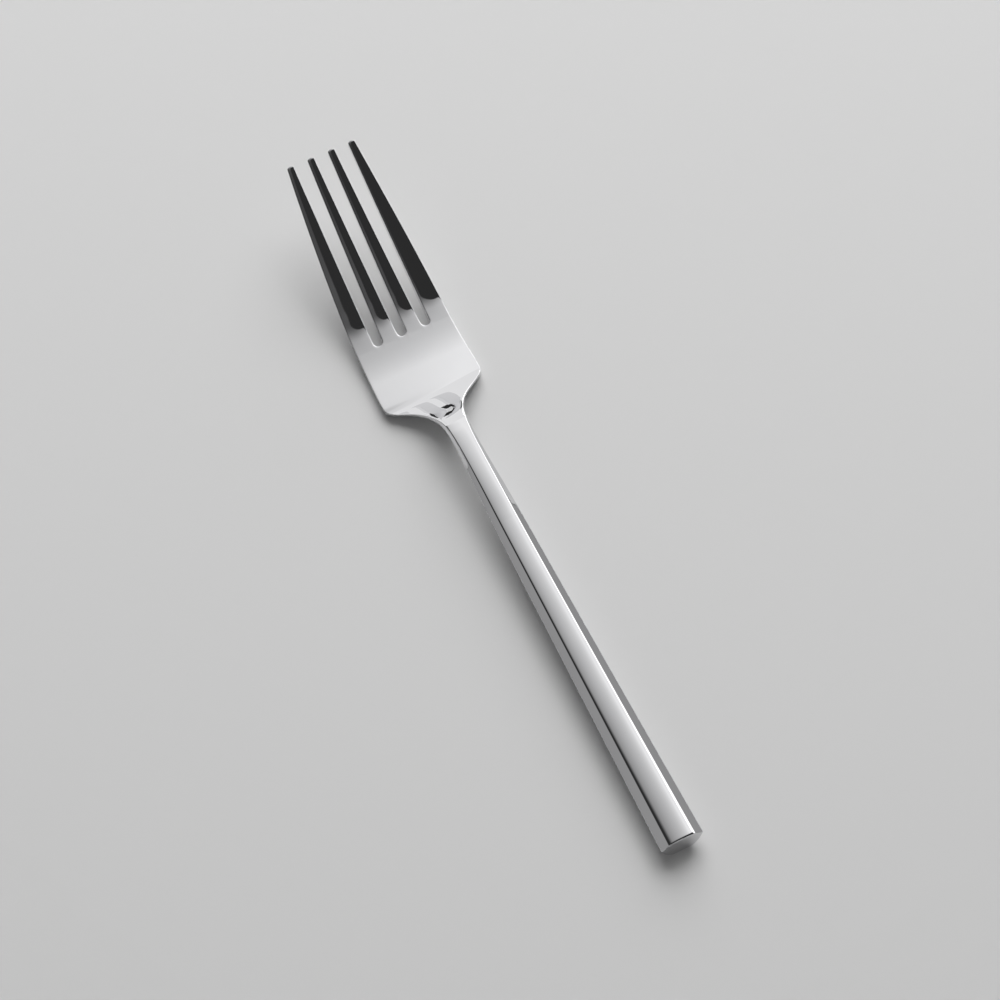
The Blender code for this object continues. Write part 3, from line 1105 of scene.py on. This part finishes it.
@dataclass
class Studio:
    """A pale floor, soft light and the camera of the photograph."""

    floor_colour: str = "#D4D4D4"
    floor_roughness: float = 0.95
    floor_gloss: float = 0.1
    floor_size: float = 8.0
    camera_place: Vector = field(default_factory=lambda: Vector((-144.9, -291.8, 732.3)) * MM)
    camera_target: Vector = field(default_factory=lambda: Vector((1.95, 1.8, 0.0)) * MM)
    camera_lens: float = 126.0
    panel_height: float = 400.0 * MM
    panel_left: float = -110.0 * MM
    panel_right: float = 400.0 * MM
    panel_front: float = -110.0 * MM
    panel_back: float = 500.0 * MM
    panel_level: float = 1.0
    panel_most: float = 1.1
    back_level: float = 1.0
    back_left: float = -300.0 * MM
    back_foot: float = 45.0 * MM
    side_fade: PanelFade = PanelFade("X", 79.0 * MM, 185.0 * MM, 3.0, -100.0 * MM, -20.0 * MM)
    depth_fade: PanelFade = PanelFade("Y", 217.0 * MM, 370.0 * MM, 1.0, -80.0 * MM, 0.0)
    front_cut: float = -69.5 * MM
    front_soft: float = 3.0 * MM
    front_slant: float = 0.35
    right_level: float = 1.35
    right_foot: float = 170.0 * MM
    right_top: float = 620.0 * MM
    right_front: float = -400.0 * MM
    corner_place: Vector = field(default_factory=lambda: Vector((275.0, 375.0, 128.0)) * MM)
    corner_size: tuple[float, float] = (330.0 * MM, 250.0 * MM)
    corner_level: float = 1.2
    key_place: Vector = field(default_factory=lambda: Vector((0.6, 1.05, 1.0)))
    key_size: float = 1.7
    key_power: float = 27.6
    key_spread: float = math.radians(150.0)
    fill_height: float = 2.0
    fill_size: float = 3.0
    fill_power: float = 4.5
    room_level: float = 0.034
    wall_level: float = 0.33
    wall_top: tuple[float, float] = (0.5, 0.62)
    wall_back: tuple[float, float] = (0.5, 0.8)

    def build_floor(self) -> None:
        """Lay the floor that the fork rests on."""
        bm = bmesh.new()
        bmesh.ops.create_grid(bm, x_segments=1, y_segments=1, size=self.floor_size / 2.0)
        mesh = bpy.data.meshes.new("floor")
        bm.to_mesh(mesh)
        bm.free()
        material = bpy.data.materials.new("pale_matt_floor")
        material.use_nodes = True
        shader = material.node_tree.nodes["Principled BSDF"]
        shader.inputs["Base Color"].default_value = linear(self.floor_colour)
        shader.inputs["Roughness"].default_value = self.floor_roughness
        shader.inputs["Specular IOR Level"].default_value = self.floor_gloss
        mesh.materials.append(material)
        floor = bpy.data.objects.new("floor", mesh)
        bpy.context.scene.collection.objects.link(floor)

    def build_camera(self) -> None:
        """Set the camera where the photograph was taken from."""
        data = bpy.data.cameras.new("camera")
        data.lens = self.camera_lens
        camera = bpy.data.objects.new("camera", data)
        camera.location = self.camera_place
        aim = self.camera_target - self.camera_place
        camera.rotation_euler = aim.to_track_quat("-Z", "Y").to_euler()
        bpy.context.scene.collection.objects.link(camera)
        bpy.context.scene.camera = camera

    def add_panel(
        self, name: str, size: tuple[float, float], place: Vector, aim: Vector
    ) -> bpy.types.Object:
        """Hang a rectangular lamp.

        Args:
            name: Name of the lamp.
            size: Width and height of the panel.
            place: Place of its middle.
            aim: Direction that it faces.

        Returns:
            The lamp's object.
        """
        data = bpy.data.lights.new(name, "AREA")
        data.shape = "RECTANGLE"
        data.size = size[0]
        data.size_y = size[1]
        lamp = bpy.data.objects.new(name, data)
        lamp.location = place
        lamp.rotation_euler = aim.to_track_quat("-Z", "Y").to_euler()
        lamp.visible_camera = False
        bpy.context.scene.collection.objects.link(lamp)
        return lamp

    def shade_panel(self, lamp: bpy.types.Object) -> None:
        """Make a panel brighter to the right and the back, with soft left and front edges.

        Args:
            lamp: The panel's lamp.
        """
        data = lamp.data
        data.use_nodes = True
        tree = data.node_tree
        place = add_node(tree, "ShaderNodeNewGeometry").outputs["Position"]
        parts = add_node(tree, "ShaderNodeSeparateXYZ", inputs={"Vector": place})
        across = add_node(
            tree,
            "ShaderNodeMath",
            settings={"operation": "MULTIPLY_ADD"},
            inputs={0: parts.outputs["X"], 1: -self.front_slant, 2: parts.outputs["Y"]},
        )
        level = add_node(
            tree,
            "ShaderNodeMapRange",
            inputs={
                "Value": across.outputs["Value"],
                "From Min": self.front_cut - self.front_soft,
                "From Max": self.front_cut,
            },
        ).outputs["Result"]
        for fade in (self.side_fade, self.depth_fade):
            lengths = add_node(
                tree,
                "ShaderNodeMapRange",
                settings={"clamp": False},
                inputs={
                    "Value": parts.outputs[fade.axis],
                    "From Min": fade.full_at,
                    "From Max": fade.full_at + fade.growth,
                },
            )
            grown = add_node(
                tree,
                "ShaderNodeMath",
                settings={"operation": "EXPONENT"},
                inputs={0: lengths.outputs["Result"]},
            )
            held = add_node(
                tree,
                "ShaderNodeMath",
                settings={"operation": "MINIMUM"},
                inputs={0: grown.outputs["Value"], 1: fade.most},
            )
            edge = add_node(
                tree,
                "ShaderNodeMapRange",
                settings={"interpolation_type": "SMOOTHSTEP"},
                inputs={
                    "Value": parts.outputs[fade.axis],
                    "From Min": fade.dark_edge,
                    "From Max": fade.bright_edge,
                    "To Max": level,
                },
            )
            level = add_node(
                tree,
                "ShaderNodeMath",
                settings={"operation": "MULTIPLY"},
                inputs={0: held.outputs["Value"], 1: edge.outputs["Result"]},
            ).outputs["Value"]
        capped = add_node(
            tree,
            "ShaderNodeMath",
            settings={"operation": "MINIMUM"},
            inputs={0: level, 1: self.panel_most},
        )
        tree.links.new(capped.outputs["Value"], tree.nodes["Emission"].inputs["Strength"])

    def build_lamps(self) -> None:
        """Hang the panels that the steel mirrors and the lamps that light the floor."""
        down = Vector((0.0, 0.0, -1.0))
        over = self.add_panel(
            "overhead_panel",
            (self.panel_right - self.panel_left, self.panel_back - self.panel_front),
            Vector(
                (
                    (self.panel_right + self.panel_left) / 2.0,
                    (self.panel_back + self.panel_front) / 2.0,
                    self.panel_height,
                )
            ),
            down,
        )
        back = self.add_panel(
            "back_panel",
            (self.panel_right - self.back_left, self.panel_height - self.back_foot),
            Vector(
                (
                    (self.panel_right + self.back_left) / 2.0,
                    self.panel_back,
                    (self.panel_height + self.back_foot) / 2.0,
                )
            ),
            Vector((0.0, -1.0, 0.0)),
        )
        right = self.add_panel(
            "right_panel",
            (self.panel_back - self.right_front, self.right_top - self.right_foot),
            Vector(
                (
                    self.panel_right,
                    (self.panel_back + self.right_front) / 2.0,
                    (self.right_top + self.right_foot) / 2.0,
                )
            ),
            Vector((-1.0, 0.0, 0.0)),
        )
        level_aim = Vector((-self.corner_place.x, -self.corner_place.y, 0.0))
        corner = self.add_panel("corner_panel", self.corner_size, self.corner_place, level_aim)
        for lamp, brightness in (
            (over, self.panel_level),
            (back, self.back_level),
            (right, self.right_level),
            (corner, self.corner_level),
        ):
            lamp.data.energy = brightness * lamp.data.size * lamp.data.size_y * math.pi
            lamp.visible_diffuse = False
        self.shade_panel(over)
        key = self.add_panel("key", (self.key_size, self.key_size), self.key_place, -self.key_place)
        key.data.energy = self.key_power
        key.data.spread = self.key_spread
        above = Vector((0.0, 0.0, self.fill_height))
        fill = self.add_panel("fill", (self.fill_size, self.fill_size), above, down)
        fill.data.energy = self.fill_power
        for lamp in (key, fill):
            lamp.visible_glossy = False

    def build_world(self) -> None:
        """Surround the fork with a dim room whose walls are grey low down, except at the back."""
        world = bpy.data.worlds.new("studio")
        bpy.context.scene.world = world
        world.use_nodes = True
        tree = world.node_tree
        way = add_node(tree, "ShaderNodeTexCoord").outputs["Generated"]
        parts = add_node(tree, "ShaderNodeSeparateXYZ", inputs={"Vector": way})
        wall: Any = self.wall_level
        for axis, (start, end) in (("Z", self.wall_top), ("Y", self.wall_back)):
            wall = add_node(
                tree,
                "ShaderNodeMapRange",
                settings={"interpolation_type": "SMOOTHSTEP"},
                inputs={
                    "Value": parts.outputs[axis],
                    "From Min": start,
                    "From Max": end,
                    "To Min": wall,
                    "To Max": 0.0,
                },
            ).outputs["Result"]
        level = add_node(
            tree,
            "ShaderNodeMath",
            settings={"operation": "ADD"},
            inputs={0: wall, 1: self.room_level},
        )
        background = tree.nodes["Background"]
        background.inputs["Color"].default_value = (1.0, 1.0, 1.0, 1.0)
        tree.links.new(level.outputs["Value"], background.inputs["Strength"])

    def build(self) -> None:
        """Set up the floor, the camera, the lamps and the room."""
        self.build_floor()
        self.build_camera()
        self.build_lamps()
        self.build_world()
        bpy.context.scene.view_settings.view_transform = "Standard"
        LOG.info("studio: built")


def main() -> None:
    """Build the fork's pieces, sized from the imported model's box, and the studio."""
    logging.basicConfig(level=logging.INFO)
    low, high = CAD_BOX
    length = high[1] - low[1]
    shell_low, shell_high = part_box("handle_upper_shell")
    handle = HandleShape(
        joint_station=shell_high[1] + FIT_GAP - low[1],
        cap_station=shell_low[1] - FIT_GAP - low[1],
    )
    head = HeadShape(handle=handle, length=length)
    skin = ForkSkin(handle=handle, head=head)
    surface = skin.surface()
    steel = PolishedSteel()
    ForkHead(skin, surface, steel, "forged_head", "fork_head", Part.HEAD).build()
    HandleShell(skin, surface, steel, "upper_shell", "handle_upper_shell", Part.UPPER_SHELL).build()
    HandleShell(skin, surface, steel, "lower_shell", "handle_lower_shell", Part.LOWER_SHELL).build()
    EndCap(skin, surface, steel, "end_cap", "handle_end_cap", Part.END_CAP).build()
    HandleCore(CastCement()).dress()
    Studio().build()


if __name__ == "__main__":
    main()
